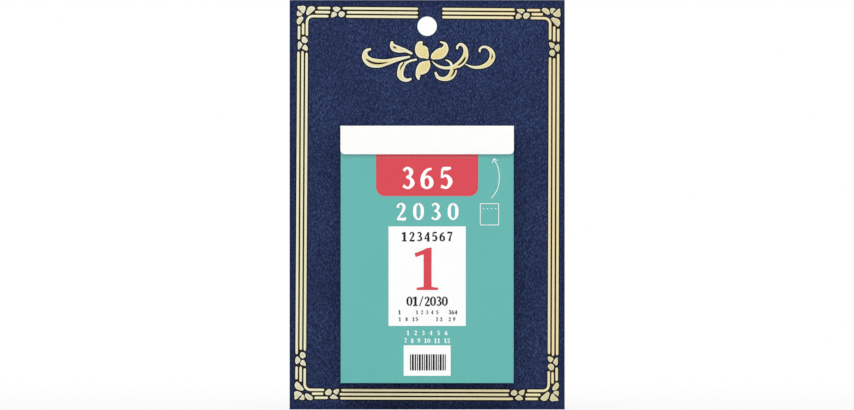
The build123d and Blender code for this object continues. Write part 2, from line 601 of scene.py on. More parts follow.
def make_piece(name: str, skin: Skin, surface: Surface) -> bpy.types.Object:
    """Put a skin into the scene as a piece with its finish.

    Args:
        name: the piece's name.
        skin: its mesh on the face, in millimetres.
        surface: its finish.

    Returns:
        The object, at the origin of the frame.
    """
    across, up, depth = skin.points.T
    mesh = bpy.data.meshes.new(name)
    mesh.from_pydata((np.column_stack([across, -depth, up]) * MM).tolist(), [], skin.faces.tolist())
    mesh.shade_smooth()
    mesh.set_sharp_from_angle(angle=SHARP_ANGLE)
    tone = mesh.attributes.new("tone", "FLOAT", "POINT")
    tone.data.foreach_set("value", skin.tone.astype(np.float32))
    mesh.materials.append(material_of(surface.value))
    piece = bpy.data.objects.new(name, mesh)
    bpy.context.scene.collection.objects.link(piece)
    LOG.info("%s: %d faces", name, len(skin.faces))
    return piece


def dress_node(name: str, surface: Surface) -> None:
    """Give a carried-over solid its finish in every material slot.

    Args:
        name: the solid's node.
        surface: its finish.
    """
    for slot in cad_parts[name].material_slots:
        slot.material = material_of(surface.value)
    LOG.info("%s: %s", name, surface.value.name)


def run_along(points: Array) -> Array:
    """How far along a line each of its points lies."""
    steps = np.linalg.norm(np.diff(points[:, :2], axis=0), axis=1)
    return np.concatenate([[0.0], np.cumsum(steps)])


def smooth_curve(knots: Array, count: int) -> Array:
    """Draw a smooth curve through knots.

    Each span is a cubic between its two knots. The slope at a knot is that of the parabola through it and its
    neighbours, by distance along the knots. The samples stand closest together near both ends.

    Args:
        knots: knots by values, with the place on the face in the first two values.
        count: number of samples.

    Returns:
        Samples by values.
    """
    reach = run_along(knots)
    slopes = np.gradient(knots, reach, axis=0)
    at = reach[-1] * (1 - np.cos(np.linspace(0, np.pi, count))) / 2
    span = np.clip(np.searchsorted(reach, at, side="right") - 1, 0, len(knots) - 2)
    length = (reach[span + 1] - reach[span])[:, None]
    t = (at - reach[span])[:, None] / length
    return (
        (1 + 2 * t) * (1 - t) ** 2 * knots[span]
        + t * (1 - t) ** 2 * length * slopes[span]
        + t**2 * (3 - 2 * t) * knots[span + 1]
        + t**2 * (t - 1) * length * slopes[span + 1]
    )


@dataclass(frozen=True)
class Relief:
    """Depths of a flat piece in millimetres.

    Attributes:
        back: depth of its back.
        face: depth of its front along the edge.
        rise: how far the middle of its front stands above the edge.
    """

    back: float
    face: float
    rise: float = 0.0

    def lifted(self, height: float) -> Relief:
        """The same relief with its front this much nearer to the reader."""
        return replace(self, face=self.face + height)


@dataclass(frozen=True)
class Place:
    """Where a flat shape goes on the face: its own axes turned and mirrored, then moved to an origin.

    Attributes:
        right: where the shape's first axis points.
        up: where its second axis points.
        origin: where its own origin goes.
    """

    right: Point = (1.0, 0.0)
    up: Point = (0.0, 1.0)
    origin: Point = (0.0, 0.0)

    def on_face(self, flat: Array) -> Array:
        """Face coordinates of points in the shape's own coordinates."""
        return flat @ np.array([self.right, self.up]) + np.array(self.origin)


def raised(flat: Array, crown: Array, tone: Array, place: Place, relief: Relief) -> Skin:
    """Give a grid of flat points its place, its crowned front and its plain back.

    Args:
        flat: rows by columns of points in the shape's own coordinates.
        crown: from 0 at the edge to 1 at the middle.
        tone: the value that the finish reads.
        place: where the shape goes.
        relief: the depths of its front and back.

    Returns:
        The closed skin.
    """
    spot = place.on_face(flat)
    front = np.concatenate([spot, (relief.face + relief.rise * crown)[..., None]], axis=-1)
    back = np.concatenate([spot, np.full(crown.shape + (1,), relief.back)], axis=-1)
    return closed_skin(front, back, tone)


@dataclass(frozen=True)
class Blade:
    """A stroke whose width swells and tapers along a smooth spine: a rule, a scroll or part of a numeral.

    Attributes:
        knots: for each knot of the spine, its place and the stroke's full width there.
        rows: number of samples along the spine.
        round_ends: True where the ends are half round instead of square.
        columns: number of points across.
        least_half: half the width that even the finest tip keeps.
        blunt: square of the share of its width that a half-round end keeps at its very tip.
        least_crown: share of the crown that even the finest tip keeps.
        rim: width of the rim along the edges, where a finish may differ from the middle, as the foil's
            painted highlight does.
    """

    knots: tuple[Knot, ...]
    rows: int = 28
    round_ends: bool = False
    columns: int = 9
    least_half: float = 0.02
    blunt: float = 0.03
    least_crown: float = 0.3
    rim: float = 0.9

    def scaled(self, size: float, origin: Point, bold: float) -> Blade:
        """The same stroke at another size, moved to an origin and made wider by a bold amount."""
        knots = np.array(self.knots) * size + np.array([*origin, bold])
        return replace(self, knots=tuple(map(tuple, knots.tolist())))

    def half_turned(self) -> Blade:
        """The same stroke of a numeral, turned by half a turn about the numeral's middle."""
        return replace(self, knots=tuple((NUMERAL_WIDTH - x, 1 - z, width) for x, z, width in self.knots))

    def skin(self, place: Place, relief: Relief, spread: float = 0.0) -> Skin:
        """Carry a crowned profile along the spine.

        A point is spine(s) + t * (width(s) / 2 + spread) * normal(s), with t from -1 to 1 across the stroke.
        The crown is 1 - t * t. The tone, by which the foil paints its highlight, is 1 at the edge and falls
        to 0 over the rim's width.

        Args:
            place: where the stroke goes.
            relief: its depths.
            spread: how far its outline grows on every side.

        Returns:
            The closed skin.
        """
        knots = np.array(self.knots)
        for end, inner in ((0, 1), (-1, -2)):
            outwards = knots[end, :2] - knots[inner, :2]
            knots[end, :2] += spread * outwards / np.linalg.norm(outwards)
        spine = smooth_curve(knots, self.rows)
        along = np.gradient(spine[:, :2], axis=0)
        along = along / np.linalg.norm(along, axis=1, keepdims=True)
        normal = np.column_stack([-along[:, 1], along[:, 0]])
        half = np.maximum(spine[:, 2] / 2, self.least_half) + spread
        if self.round_ends:
            reach = run_along(spine)
            to_end = np.minimum(reach, reach[-1] - reach)
            inside = np.clip(1 - to_end / half.max(), 0, 1)
            half = half * np.sqrt(np.maximum(1 - inside**2, self.blunt))
        across = np.linspace(-1, 1, self.columns)
        flat = spine[:, None, :2] + (half[:, None] * across)[..., None] * normal[:, None, :]
        crown = np.minimum(half / half.max() + self.least_crown, 1)[:, None] * (1 - across**2)
        tone = np.clip(1 - half[:, None] * (1 - np.abs(across)) / self.rim, 0, 1)
        return raised(flat, crown, tone, place, relief)


@dataclass(frozen=True)
class Lobe:
    """A rounded patch inside a smooth outline, such as a petal of a floret.

    Attributes:
        outline: knots round the outline, which every ray from their middle crosses once.
        samples: number of samples round the outline.
        steps: number of points along each side of its grid.
    """

    outline: tuple[Point, ...]
    samples: int = 220
    steps: int = 15

    def skin(self, place: Place, relief: Relief, spread: float = 0.0) -> Skin:
        """Stretch a square grid over the outline.

        The grid's a and b, from -1 to 1, become a disc: a * sqrt(1 - b * b / 2) across and
        b * sqrt(1 - a * a / 2) up. The disc's radius at each angle is then stretched to the outline's.
        The crown is 1 - radius^2, and the tone, by which the foil paints its highlight, is radius^5.

        Args:
            place: where the patch goes.
            relief: its depths.
            spread: how far its outline grows on every side.

        Returns:
            The closed skin.
        """
        knots = np.array(self.outline)
        middle = knots.mean(axis=0)
        lap = np.concatenate([knots[-2:], knots, knots[:3]])
        arms = smooth_curve(lap, self.samples) - middle
        bearing = np.arctan2(arms[:, 1], arms[:, 0])
        order = np.argsort(bearing)
        lengths = np.linalg.norm(arms, axis=1)[order]
        steps = np.linspace(-1, 1, self.steps)
        a, b = np.meshgrid(steps, steps)
        across = a * np.sqrt(1 - b**2 / 2)
        up = b * np.sqrt(1 - a**2 / 2)
        radius = np.hypot(across, up)
        angle = np.arctan2(up, across)
        reach = np.interp(angle, bearing[order], lengths, period=2 * np.pi) + spread
        flat = middle + (radius * reach)[..., None] * np.stack([np.cos(angle), np.sin(angle)], axis=-1)
        return raised(flat, 1 - radius**2, radius**5, place, relief)


Stamp = tuple[Blade | Lobe, Place]


@dataclass(frozen=True)
class Panel:
    """A flat patch of print or paper with rounded lower corners.

    Attributes:
        left: its left side.
        right: its right side.
        top: its upper edge.
        bottom: its lower edge.
        radius: radius of the lower corners.
        row_step: distance between the rows of its grid.
        arc_rows: number of rows down a corner.
        columns: number of points across.
    """

    left: float
    right: float
    top: float
    bottom: float
    radius: float = 0.0
    row_step: float = 0.5
    arc_rows: int = 12
    columns: int = 9

    def skin(self, relief: Relief) -> Skin:
        """Rule the panel with straight rows.

        The half width of a row is the panel's, less radius - sqrt(radius^2 - dip^2), where dip is how far the
        row lies below the centres of the corner arcs.

        Args:
            relief: its depths.

        Returns:
            The closed skin.
        """
        arc = self.bottom + self.radius
        rows = np.linspace(self.top, arc, max(int((self.top - arc) / self.row_step), 2))
        if self.radius > 0:
            turn = np.linspace(0, np.pi / 2, self.arc_rows)[1:]
            rows = np.concatenate([rows, arc - self.radius * np.sin(turn)])
        dip = np.clip(arc - rows, 0, self.radius)
        inset = self.radius - np.sqrt(self.radius**2 - dip**2)
        half = (self.right - self.left) / 2 - inset
        x = (self.left + self.right) / 2 + half[:, None] * np.linspace(-1, 1, self.columns)
        flat = np.stack([x, np.broadcast_to(rows[:, None], x.shape)], axis=-1)
        level = np.zeros(x.shape)
        return raised(flat, level, level, Place(), relief)


def patch(edges: Edges) -> Panel:
    """The panel between a left side, a right side and the drops of its top and its bottom."""
    left, right, top, bottom = edges
    return Panel(left, right, FLAP_EDGE - top, FLAP_EDGE - bottom)


# Strokes of the numerals, one unit high on a base line, with thick stems and thin joins
NUMERAL_WIDTH = 0.6
NUMERALS: dict[str, tuple[Blade, ...]] = {
    "0": (
        Blade((
            (0.30, 0.97, 0.05), (0.14, 0.84, 0.11), (0.08, 0.50, 0.16),
            (0.14, 0.16, 0.11), (0.30, 0.03, 0.05), (0.46, 0.16, 0.11),
            (0.52, 0.50, 0.16), (0.46, 0.84, 0.11), (0.30, 0.97, 0.05),
        )),
    ),
    "1": (
        Blade(((0.31, 0.02, 0.19), (0.31, 0.45, 0.185), (0.31, 0.90, 0.19))),
        Blade(((0.02, 0.81, 0.09), (0.20, 0.875, 0.10), (0.33, 0.925, 0.12), (0.40, 0.985, 0.02))),
        Blade(((0.38, 0.80, 0.05), (0.38, 0.90, 0.05), (0.39, 0.98, 0.03))),
        Blade(((0.055, 0.03, 0.055), (0.31, 0.042, 0.08), (0.555, 0.03, 0.055))),
    ),
    "2": (
        Blade((
            (0.10, 0.72, 0.12), (0.14, 0.88, 0.07), (0.30, 0.96, 0.06), (0.46, 0.82, 0.14),
            (0.43, 0.60, 0.13), (0.25, 0.30, 0.07), (0.08, 0.06, 0.05),
        )),
        Blade(((0.05, 0.05, 0.08), (0.30, 0.06, 0.12), (0.50, 0.06, 0.12), (0.56, 0.16, 0.03))),
    ),
    "3": (
        Blade((
            (0.09, 0.84, 0.09), (0.26, 0.965, 0.06), (0.44, 0.80, 0.14),
            (0.38, 0.60, 0.08), (0.22, 0.54, 0.04),
        )),
        Blade((
            (0.22, 0.53, 0.04), (0.42, 0.46, 0.08), (0.50, 0.27, 0.16),
            (0.30, 0.035, 0.06), (0.07, 0.14, 0.10),
        )),
    ),
    "4": (
        Blade(((0.42, 0.97, 0.05), (0.22, 0.62, 0.06), (0.05, 0.29, 0.05))),
        Blade(((0.02, 0.27, 0.07), (0.58, 0.27, 0.07))),
        Blade(((0.42, 0.02, 0.15), (0.42, 0.98, 0.15))),
        Blade(((0.26, 0.02, 0.04), (0.42, 0.025, 0.05), (0.58, 0.02, 0.04))),
    ),
    "5": (
        Blade(((0.13, 0.93, 0.10), (0.32, 0.93, 0.12), (0.52, 0.96, 0.06))),
        Blade(((0.13, 0.93, 0.05), (0.11, 0.72, 0.05), (0.10, 0.50, 0.05))),
        Blade((
            (0.10, 0.52, 0.04), (0.28, 0.61, 0.07), (0.49, 0.36, 0.16),
            (0.32, 0.05, 0.07), (0.06, 0.12, 0.10),
        )),
    ),
    "6": (
        Blade(((0.50, 0.93, 0.05), (0.30, 0.86, 0.08), (0.12, 0.60, 0.13), (0.08, 0.34, 0.15))),
        Blade((
            (0.09, 0.38, 0.13), (0.12, 0.14, 0.12), (0.30, 0.03, 0.05), (0.48, 0.18, 0.14),
            (0.48, 0.40, 0.14), (0.32, 0.57, 0.05), (0.10, 0.42, 0.05),
        )),
    ),
    "7": (
        Blade(((0.05, 0.82, 0.03), (0.10, 0.93, 0.12), (0.32, 0.93, 0.13), (0.55, 0.95, 0.09))),
        Blade(((0.54, 0.93, 0.05), (0.36, 0.55, 0.09), (0.24, 0.02, 0.17))),
    ),
    "8": (
        Blade((
            (0.30, 0.965, 0.05), (0.15, 0.86, 0.11), (0.18, 0.64, 0.12), (0.34, 0.50, 0.12),
            (0.50, 0.30, 0.15), (0.44, 0.10, 0.11), (0.30, 0.035, 0.05),
        )),
        Blade((
            (0.30, 0.965, 0.05), (0.45, 0.86, 0.10), (0.42, 0.66, 0.09), (0.28, 0.53, 0.07),
            (0.10, 0.32, 0.12), (0.14, 0.12, 0.11), (0.30, 0.035, 0.05),
        )),
    ),
    "/": (Blade(((0.12, -0.04, 0.06), (0.48, 1.04, 0.06))),),
}
NUMERALS["9"] = tuple(stroke.half_turned() for stroke in NUMERALS["6"])


@dataclass(frozen=True)
class PrintRow:
    """A row of plain numerals, evenly spread over its width.

    Attributes:
        numbers: the numerals, and spaces for gaps.
        height: height of a numeral.
        drop: drop of the row's middle.
        width: from the left side of the first numeral to the right side of the last.
        middle: where the row's middle lies across.
        bold: how much wider than usual the strokes are.
    """

    numbers: str
    height: float
    drop: float
    width: float = 0.0
    middle: float = 0.0
    bold: float = 0.0

    def strokes(self) -> list[Blade]:
        """The strokes of the row, from left to right.

        Returns:
            The strokes of each numeral in turn.
        """
        wide = NUMERAL_WIDTH * self.height
        half = max(self.width, wide) / 2
        lefts = self.middle + np.linspace(-half, half - wide, len(self.numbers))
        base = FLAP_EDGE - self.drop - self.height / 2
        return [
            stroke.scaled(self.height, (left, base), self.bold)
            for number, left in zip(self.numbers, lefts)
            if number != " "
            for stroke in NUMERALS[number]
        ]


def strokes_of(rows: Iterable[PrintRow]) -> list[Blade]:
    """The strokes of several rows, in their order."""
    return [stroke for row in rows for stroke in row.strokes()]


def stacked(strokes: Sequence[Blade], relief: Relief) -> Skin:
    """Join strokes into one skin, each a step above the one before."""
    lifts = STROKE_STEP * np.arange(len(strokes))
    return joined(stroke.skin(Place(), relief.lifted(lift)) for stroke, lift in zip(strokes, lifts))


def dot(x: float, z: float, size: float) -> Blade:
    """A round dot, as a very short stroke with half-round ends."""
    return Blade(((x - size / 2, z, size), (x + size / 2, z, size)), rows=14, round_ends=True)


class Row(Enum):
    """The three rules of a side of the border, from the plate's edge inwards."""

    OUTER = "outer"
    MIDDLE = "middle"
    INNER = "inner"


class Corner(Enum):
    """The border's corners, clockwise. A corner's first side runs clockwise, its second the other way."""

    TOP_LEFT = 0
    TOP_RIGHT = 1
    BOTTOM_RIGHT = 2
    BOTTOM_LEFT = 3


# Petals of a corner and of the florets beside it, along the first side and then along the second
CORNER_LOBES: tuple[Lobe, ...] = (
    Lobe(((3.2, 3.7), (1.6, 2.3), (0.2, 0.7), (0.3, 0.2), (1.6, 0.0), (4.0, 0.0), (4.5, 0.9), (4.0, 2.6))),
    Lobe(((0.2, 4.8), (0.0, 4.0), (0.4, 2.2), (1.4, 3.0), (2.8, 4.0), (2.6, 4.6), (1.3, 5.0))),
    Lobe((
        (5.0, 4.5), (4.6, 3.9), (4.8, 2.5), (5.7, 0.6), (6.9, 0.0),
        (8.4, 0.3), (9.1, 1.1), (8.5, 2.1), (6.9, 3.5),
    )),
    Lobe((
        (0.7, 9.1), (0.0, 8.2), (0.1, 6.8), (0.8, 5.8), (2.5, 5.1),
        (3.2, 5.4), (3.2, 6.5), (2.5, 7.7), (1.5, 8.9),
    )),
    Lobe(((16.8, 5.4), (16.8, 4.6), (17.6, 2.7), (18.3, 2.7), (19.8, 4.0), (19.5, 4.7), (18.3, 5.3))),
    Lobe(((19.5, 2.9), (17.9, 1.6), (17.5, 0.7), (18.2, 0.4), (20.8, 0.5), (21.6, 1.3), (20.9, 2.1))),
    Lobe(((21.8, 5.4), (20.7, 4.8), (20.4, 3.7), (21.2, 2.6), (22.8, 2.6), (23.7, 3.4), (23.3, 4.7))),
    Lobe((
        (2.4, 16.4), (2.9, 15.1), (3.8, 14.9), (5.0, 15.8),
        (5.6, 16.9), (4.9, 18.1), (3.9, 18.3), (2.8, 17.8),
    )),
    Lobe(((0.8, 21.5), (0.6, 20.4), (0.6, 18.1), (1.3, 17.3), (2.3, 18.1), (3.0, 19.0), (2.1, 20.5))),
    Lobe(((5.4, 21.8), (3.7, 21.6), (2.7, 20.8), (2.9, 20.1), (4.3, 18.9), (5.1, 19.5), (5.6, 20.8))),
)

# Fleuron under the hole: petals and scrolls round its middle, from the lowest to the one on top
FLEURON_MIDDLE: Point = (1.2, -16.4)
FLEURON: tuple[Blade, ...] = (
    Blade((
        (11.9, -3.5, 2.6), (11.7, -5.6, 3.3), (10.2, -8.3, 3.0), (7.1, -9.5, 1.9), (4.1, -8.65, 1.5),
        (2.8, -6.1, 0.9),
    ), rows=48),
    Blade((
        (-6.3, 0.1, 0.9), (-9.7, -0.7, 1.0), (-11.4, -1.55, 1.25), (-13.2, -2.7, 2.9), (-14.25, -5.4, 3.0),
        (-14.3, -7.9, 2.9), (-12.7, -9.7, 2.0), (-10.6, -10.05, 1.35), (-8.95, -9.35, 0.95),
    ), rows=48),
    Blade(((7.7, -0.05, 0.3), (9.4, -0.8, 0.85), (10.5, -1.85, 1.1), (10.85, -3.5, 1.1))),
    Blade((
        (-0.8, 0.4, 0.3), (-1.75, 1.8, 3.4), (-3.15, 3.3, 6.0), (-4.45, 5.55, 5.65), (-4.6, 7.85, 2.8),
        (-3.45, 8.75, 0.5),
    )),
    Blade((
        (0.95, 0.5, 0.9), (1.55, 1.05, 2.4), (2.75, 1.9, 3.9), (5.35, 3.1, 5.2), (7.55, 5.2, 3.5),
        (7.65, 7.6, 1.6), (5.1, 8.8, 0.5),
    )),
    Blade((
        (-0.2, -0.5, 0.4), (-1.2, -2.0, 3.8), (-3.15, -4.0, 5.75), (-5.05, -6.4, 3.7), (-5.65, -8.5, 1.8),
        (-5.2, -10.0, 0.3),
    )),
    Blade((
        (-8.5, 2.85, 0.9), (-11.6, 4.35, 1.6), (-15.4, 5.1, 3.2), (-17.6, 6.05, 3.2), (-18.5, 7.7, 1.8),
        (-18.4, 9.0, 0.9),
    )),
    Blade((
        (-9.65, 1.45, 0.8), (-15.9, 0.1, 1.9), (-20.4, -1.15, 2.7), (-25.3, -1.85, 4.2), (-29.5, -1.0, 4.25),
        (-31.7, 1.7, 3.0), (-31.1, 4.35, 1.6), (-28.8, 5.25, 0.9),
    ), rows=48),
    Blade((
        (1.1, -0.65, 0.2), (3.65, -2.85, 1.0), (7.0, -4.0, 1.3), (10.6, -3.85, 1.6), (14.65, -2.15, 3.0),
        (17.3, 1.1, 3.0), (17.75, 3.9, 2.2), (17.2, 6.1, 1.75), (15.1, 7.55, 1.25), (13.8, 6.7, 1.05),
        (13.4, 5.15, 0.9),
    ), rows=56),
    Blade((
        (17.4, -2.15, 0.35), (21.1, -3.65, 1.1), (25.4, -3.55, 1.65), (29.45, -1.4, 2.55), (30.85, 1.7, 2.7),
        (30.2, 4.2, 2.0), (27.85, 6.1, 1.2), (25.65, 6.05, 1.0), (24.65, 4.95, 0.95), (24.6, 3.65, 0.8),
    ), rows=56),
)
# Hairlines along the scrolls and where one crosses another, and the notches beside two petals' tips, drawn in
# the same painted shade as the debossed edges
FLEURON_SLITS: tuple[Blade, ...] = (
    Blade(((-1.45, 7.4, 1.4), (-2.4, 7.25, 1.0), (-3.4, 7.2, 0.4))),
    Blade(((-3.4, -7.8, 1.0), (-4.1, -7.75, 0.8), (-4.8, -7.7, 0.3))),
    Blade(((-18.0, 6.6, 0.2), (-17.2, 6.0, 0.9), (-16.2, 5.55, 0.3))),
    Blade((
        (-31.1, 0.35, 0.4), (-29.9, -0.65, 0.9), (-27.9, -1.55, 1.0),
        (-25.2, -1.9, 0.95), (-22.8, -1.75, 0.7), (-20.6, -1.3, 0.25),
    )),
    Blade(((-12.5, -1.2, 0.7), (-13.2, -2.55, 0.65), (-14.05, -3.8, 0.65), (-14.35, -5.0, 0.25))),
    Blade(((17.55, 1.3, 0.5), (17.0, 0.1, 1.0), (15.95, -1.3, 1.0), (13.85, -2.85, 0.5))),
    Blade(((30.65, 2.9, 0.2), (30.7, 1.4, 0.65), (30.4, 0.1, 0.3))),
    Blade(((12.3, -5.1, 0.9), (11.75, -6.75, 0.85), (10.4, -8.4, 0.35))),
    Blade(((11.6, -5.0, 0.5), (12.8, -4.75, 0.8), (14.2, -4.2, 0.7))),
)


@dataclass(frozen=True)
class WallPlate:
    """The covered plate that hangs on the wall, with its stamped border and ornament.

    Attributes:
        die_corners: where the border's outer corners are on the face, clockwise from the top left. The die
            sits a little askew, and the covering gave a little under it.
        rule_insets: distance of each rule's middle line from the border's outer edge.
        rule_width: width of a foil rule.
        rule_rows: number of samples along a rule.
        first_starts: where each rule of a corner's first side starts, from the corner.
        second_starts: the same for its second side.
        bend_first: the rule that bends round a corner: how far along its first side and how far inwards of
            the inner rules each of its knots lies.
        bend_second: the same along its second side.
        first_short: where the short outer and middle rules of a corner's first side start and end.
        second_short: the same for its second side.
        second_shift: how much further in the short rules of the second side lie.
        hole_gap: where the top rules stop at each side of the hanging hole.
        petal_trim: how far the foil of the petals stays inside their outlines.
        rule_gap: width of the painted gap shade at both sides of a middle rule.
        scorch_width: width of the painted shade round every stroke.
        scorch_height: how far the first painted shade stands out of the face.
        scorch_step: how much further each of the border's painted shades stands out than the one before.
        sink: how deep the stamped work reaches into the covering.
        foil_height: how far the foil's edge stands out of the face.
        foil_crown: how far the middle of a stroke stands above its edge.
    """

    die_corners: tuple[Point, ...] = ((-63.97, 9.94), (65.33, 8.9), (64.65, -183.9), (-65.1, -183.45))
    rule_insets: Knot = (0.95, 2.95, 4.95)
    rule_width: float = 1.17
    rule_rows: int = 40
    first_starts: Knot = (22.5, 24.6, 24.2)
    second_starts: Knot = (22.4, 22.1, 22.9)
    bend_first: tuple[Point, ...] = ((15.6, 0.0), (9.5, 0.0), (7.4, 0.05), (5.9, 0.75))
    bend_second: tuple[Point, ...] = ((7.1, 0.2), (9.0, 0.1), (14.6, 0.1))
    first_short: tuple[Point, Point] = ((10.2, 16.5), (9.0, 16.4))
    second_short: tuple[Point, Point] = ((9.8, 16.4), (8.5, 14.1))
    second_shift: float = 0.2
    hole_gap: Point = (-4.45, 7.45)
    petal_trim: float = 0.1
    rule_gap: float = 0.83
    scorch_width: float = 0.6
    scorch_height: float = 0.004
    scorch_step: float = 0.0002
    sink: float = 0.02
    foil_height: float = 0.03
    foil_crown: float = 0.035

    def side(self, corner: Corner, step: int) -> tuple[Array, float]:
        """The side from a corner to the next one clockwise, or to the one before.

        Args:
            corner: the corner it starts from.
            step: 1 for the next corner, -1 for the one before.

        Returns:
            Its direction and its length.
        """
        end = self.die_corners[(corner.value + step) % len(Corner)]
        way = np.subtract(end, self.die_corners[corner.value])
        length = float(np.linalg.norm(way))
        return way / length, length

    def die_place(self, corner: Corner) -> Place:
        """Place of a corner, with its first axis along its first side and its second along its second."""
        right, up = (tuple(self.side(corner, step)[0].tolist()) for step in (1, -1))
        return Place(right, up, self.die_corners[corner.value])

    def rule(self, *points: Point) -> Blade:
        """A foil rule through points, with half-round ends."""
        return Blade(tuple((*point, self.rule_width) for point in points), self.rule_rows, round_ends=True)

    def corner_rules(self) -> list[tuple[Row, Blade]]:
        """The short rules of a corner: one that bends round it, and two beside it on each side.

        Returns:
            The rules with their rows.
        """
        inner = self.rule_insets[-1]
        bend = [(along, inner + inwards) for along, inwards in self.bend_first]
        bend += [(inner + inwards, along) for along, inwards in self.bend_second]
        rules = [(Row.INNER, self.rule(*bend))]
        for row, inset, (start, end) in zip(Row, self.rule_insets, self.first_short):
            rules.append((row, self.rule((start, inset), (end, inset))))
        for row, inset, (start, end) in zip(Row, self.rule_insets, self.second_short):
            shifted = inset + self.second_shift
            rules.append((row, self.rule((shifted, start), (shifted, end))))
        return rules

    def side_rules(self, corner: Corner) -> list[tuple[Row, Blade]]:
        """The long rules of a corner's first side, which end short of the next corner.

        Args:
            corner: the corner they start from.

        Returns:
            Three rules with their rows, or six on the top side, where they stop on both sides of the hole.
        """
        length = self.side(corner, 1)[1]
        rules = []
        for row, inset, start, stop in zip(Row, self.rule_insets, self.first_starts, self.second_starts):
            ends = [(start, length - stop)]
            if corner is Corner.TOP_LEFT:
                gap = [x - self.die_corners[corner.value][0] for x in self.hole_gap]
                ends = [(start, gap[0]), (gap[1], length - stop)]
            rules += [(row, self.rule((first, inset), (last, inset))) for first, last in ends]
        return rules

    def build(self) -> None:
        """Dress the plate's solids, and stamp the border and the fleuron on its face."""
        dress_node("leatherette_covering", Surface.LEATHERETTE)
        dress_node("backing_board", Surface.GREY_BOARD)
        dress_node("back_lining", Surface.LINING)
        dress_node("mounting_tape", Surface.FOAM)
        face = face_depth("leatherette_covering")
        foil = Relief(face - self.sink, face + self.foil_height, self.foil_crown)
        deboss_shade = Relief(face - self.sink, face + self.scorch_height)
        rules: list[Stamp] = []
        middle_rules: list[Stamp] = []
        petals: list[Stamp] = []
        for corner in Corner:
            place = self.die_place(corner)
            rows = self.corner_rules() + self.side_rules(corner)
            rules += [(rule, place) for row, rule in rows]
            middle_rules += [(rule, place) for row, rule in rows if row is Row.MIDDLE]
            petals += [(lobe, place) for lobe in CORNER_LOBES]
        self.stamp("foil_border_rules", rules, foil, Surface.RULE_FOIL)
        self.stamp("foil_corner_petals", petals, foil, Surface.PETAL_FOIL, -self.petal_trim)
        # Painted shade of the debossed edge round every rule and petal
        edges = [
            shape.skin(place, deboss_shade.lifted(self.scorch_step * order), self.scorch_width)
            for order, (shape, place) in enumerate(rules + petals)
        ]
        self.finish_stamp("foil_border_painted_shade", joined(edges), Surface.SCORCH)
        # Painted shade, tinted brownish gold, in the gaps at both sides of the middle rules
        gap_shade = deboss_shade.lifted(self.scorch_step * len(edges))
        self.stamp("foil_border_painted_gap_shade", middle_rules, gap_shade, Surface.BRONZE, self.rule_gap)
        self.stamp_fleuron(foil, deboss_shade)

    def stamp_fleuron(self, foil: Relief, deboss_shade: Relief) -> None:
        """Stamp the fleuron, and draw its slits over it in painted shade.

        Args:
            foil: relief of the foil.
            deboss_shade: relief of the painted shade round the strokes.
        """
        place = Place(origin=FLEURON_MIDDLE)
        bright = []
        dark = []
        for order, scroll in enumerate(FLEURON):
            lift = STROKE_STEP * order
            bright.append(scroll.skin(place, foil.lifted(lift)))
            # Painted shade of the debossed edge round the scroll
            dark.append(scroll.skin(place, deboss_shade.lifted(lift), self.scorch_width))
        slit = Relief(foil.face, foil.face + self.foil_height + self.foil_crown)
        dark += [blade.skin(place, slit) for blade in FLEURON_SLITS]
        self.finish_stamp("foil_fleuron", joined(bright), Surface.FLEURON_FOIL)
        self.finish_stamp("foil_fleuron_painted_shade", joined(dark), Surface.SCORCH)

    def stamp(
        self, name: str, stamps: list[Stamp], relief: Relief, surface: Surface, spread: float = 0.0
    ) -> None:
        """Stamp shapes in their places as one piece, their outlines grown by a spread."""
        self.finish_stamp(name, joined(shape.skin(place, relief, spread) for shape, place in stamps), surface)

    def finish_stamp(self, name: str, skin: Skin, surface: Surface) -> None:
        """Make a stamped piece that stays with the plate."""
        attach(make_piece(name, skin, surface), "wall_plate")


@dataclass(frozen=True)
class TornEdge:
    """The row of teeth along the tear line, where the ties between the slots give way.

    Attributes:
        slot_pitch: from one slot to the next.
        slot_length: length of a slot.
        slot_drop: how far a slot reaches below the tear line.
        tie_drop: how far below it the paper of a torn tie ends.
        slot_count: number of slots across the leaf.
        step: width of the flank between a slot and a tie.
        rows: number of rows of points down the leaf.
        even: share of the way down that is spread evenly over the rows.
    """

    slot_pitch: float = 2.0
    slot_length: float = 1.4
    slot_drop: float = 0.08
    tie_drop: float = 0.02
    slot_count: int = 42
    step: float = 0.01
    rows: int = 60
    even: float = 0.25

    def outline(self) -> tuple[Array, Array]:
        """The edge from left to right.

        Returns:
            The columns across the leaf, and for each of them how far the edge lies below the tear line.
        """
        centres = (np.arange(self.slot_count) - (self.slot_count - 1) / 2) * self.slot_pitch
        half = self.slot_length / 2
        flank = np.array([-half - self.step, -half + self.step, half - self.step, half + self.step])
        columns = (centres[:, None] + flank).ravel()
        drops = np.tile([self.tie_drop, self.slot_drop, self.slot_drop, self.tie_drop], self.slot_count)
        columns = np.concatenate([[-LEAF_HALF_WIDTH], columns, [LEAF_HALF_WIDTH]])
        drops = np.concatenate([[self.tie_drop], drops, [self.tie_drop]])
        return columns, drops

    def sheet(self, relief: Relief) -> Skin:
        """A leaf that hangs from its torn edge.

        Rows run from the edge to the foot of the leaf, closest together near the edge, where the leaf bends.
        The share of the way down at row r, from 0 to 1, is even * r + (1 - even) * r^3.

        Args:
            relief: depths of its back and its front.

        Returns:
            The closed skin.
        """
        columns, drops = self.outline()
        r = np.linspace(0, 1, self.rows)
        share = self.even * r + (1 - self.even) * r**3
        top = TEAR_LINE - drops
        z = top + (LEAF_BOTTOM - top) * share[:, None]
        flat = np.stack([np.broadcast_to(columns, z.shape), z], axis=-1)
        level = np.zeros(z.shape)
        return raised(flat, level, level, Place(), relief)


